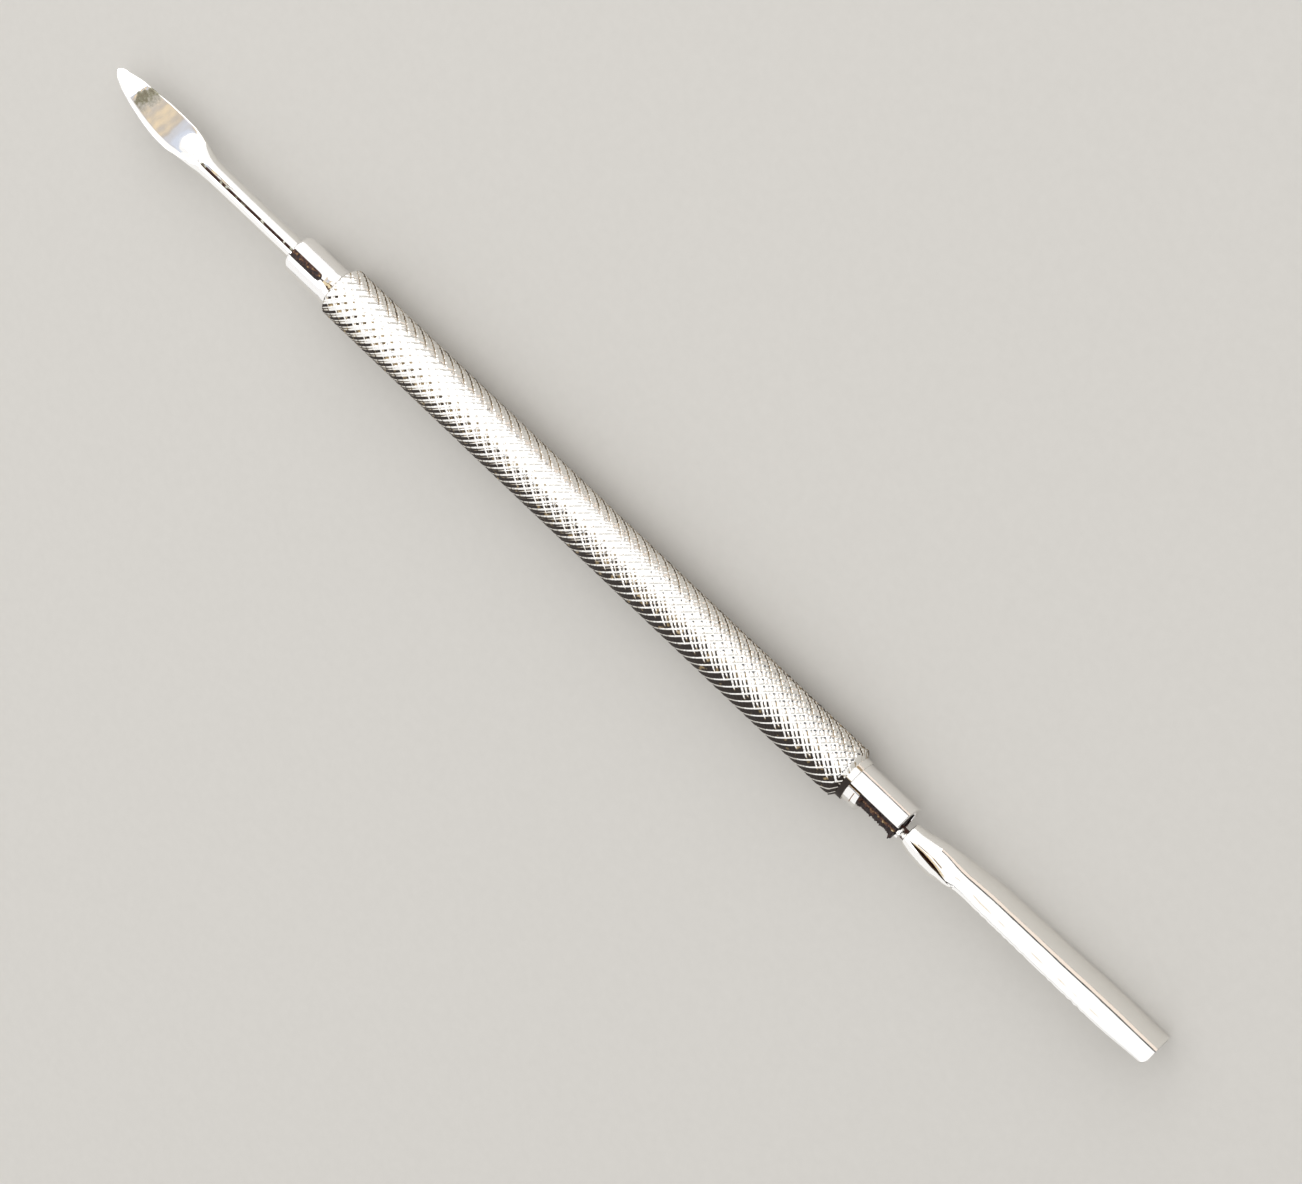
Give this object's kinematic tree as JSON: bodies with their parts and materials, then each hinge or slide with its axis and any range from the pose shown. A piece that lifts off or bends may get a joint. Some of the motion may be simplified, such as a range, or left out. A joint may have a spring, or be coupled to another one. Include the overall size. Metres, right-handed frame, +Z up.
{
  "type": "spudger",
  "caption": "Slim double-ended metal spudger: knurled tube handle with a pointed spear blade at one end and a bent gutter-shaped pusher at the other.",
  "frame": {"origin": "on the handle's axis, halfway along the knurled sleeve", "axes": "+X along the handle towards the gutter-shaped pusher, +Z up as the tool lies on a bench, on its sleeve and on the far edge of the pusher's gutter, +Y across the handle towards that edge, by the right-hand rule; the seams face up and lean 22 degrees towards +Y"},
  "size_m": [0.1349, 0.0054, 0.0054],
  "materials": {
    "plated_knurl": "bright nickel plate over cut knurling",
    "plated_collar": "bright nickel plate, smooth",
    "polished_steel": "drawn, pressed and ground stainless steel",
    "braze": "rough, heat-stained filler"
  },
  "bodies": {
    "root": {"knurled_sleeve": "plated_knurl", "blade_ferrule": "plated_collar", "pusher_ferrule": "plated_collar", "spear_blade": "polished_steel", "pusher_scoop": "polished_steel", "pusher_stem": "polished_steel", "blade_braze": "braze", "pusher_braze": "braze"}
  },
  "joints": []
}
